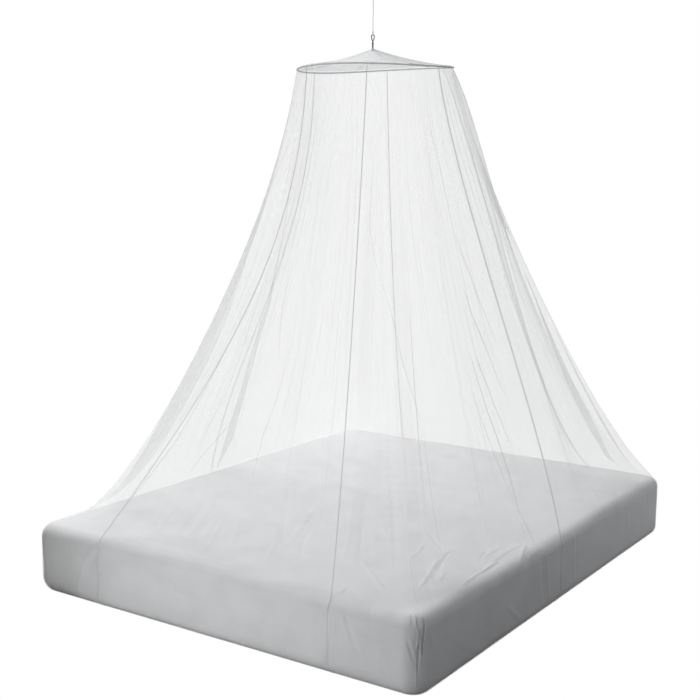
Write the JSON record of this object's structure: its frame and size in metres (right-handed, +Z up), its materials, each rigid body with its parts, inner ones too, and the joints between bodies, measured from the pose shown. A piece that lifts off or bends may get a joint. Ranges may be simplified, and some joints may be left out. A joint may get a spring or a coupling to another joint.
{
  "type": "mosquito net canopy with its hoop, hung over a mattress",
  "caption": "Bell-shaped mosquito net on a round hoop, hung from a ceiling hook on a cord and tucked under a mattress all round.",
  "frame": {"origin": "on the floor under the middle of the mattress", "axes": "+X along the foot edge to the right, +Y from the foot to the head, +Z up"},
  "size_m": [1.618, 2.0241, 2.215],
  "materials": {
    "net": "fine white polyester net, see-through",
    "tape": "white woven tape",
    "mattress_cover": "matt white sheet",
    "rod": "pale glass-fibre rod",
    "webbing": "grey woven tape, doubled",
    "twine": "thin pale twisted cord",
    "steel": "plain steel"
  },
  "bodies": {
    "root": {"mattress": "mattress_cover", "gore_foot_right": "net", "gore_head_right": "net", "gore_head": "net", "gore_head_left": "net", "gore_foot_left": "net", "gore_foot": "net", "crown_panel_1": "net", "crown_panel_2": "net", "crown_panel_3": "net", "crown_panel_4": "net", "crown_panel_5": "net", "crown_panel_6": "net", "hoop": "rod", "hoop_casing": "tape", "hanging_loop": "webbing", "cord_hitch_low": "twine", "cord": "twine", "cord_hitch_high": "twine", "ceiling_hook": "steel"}
  },
  "joints": []
}
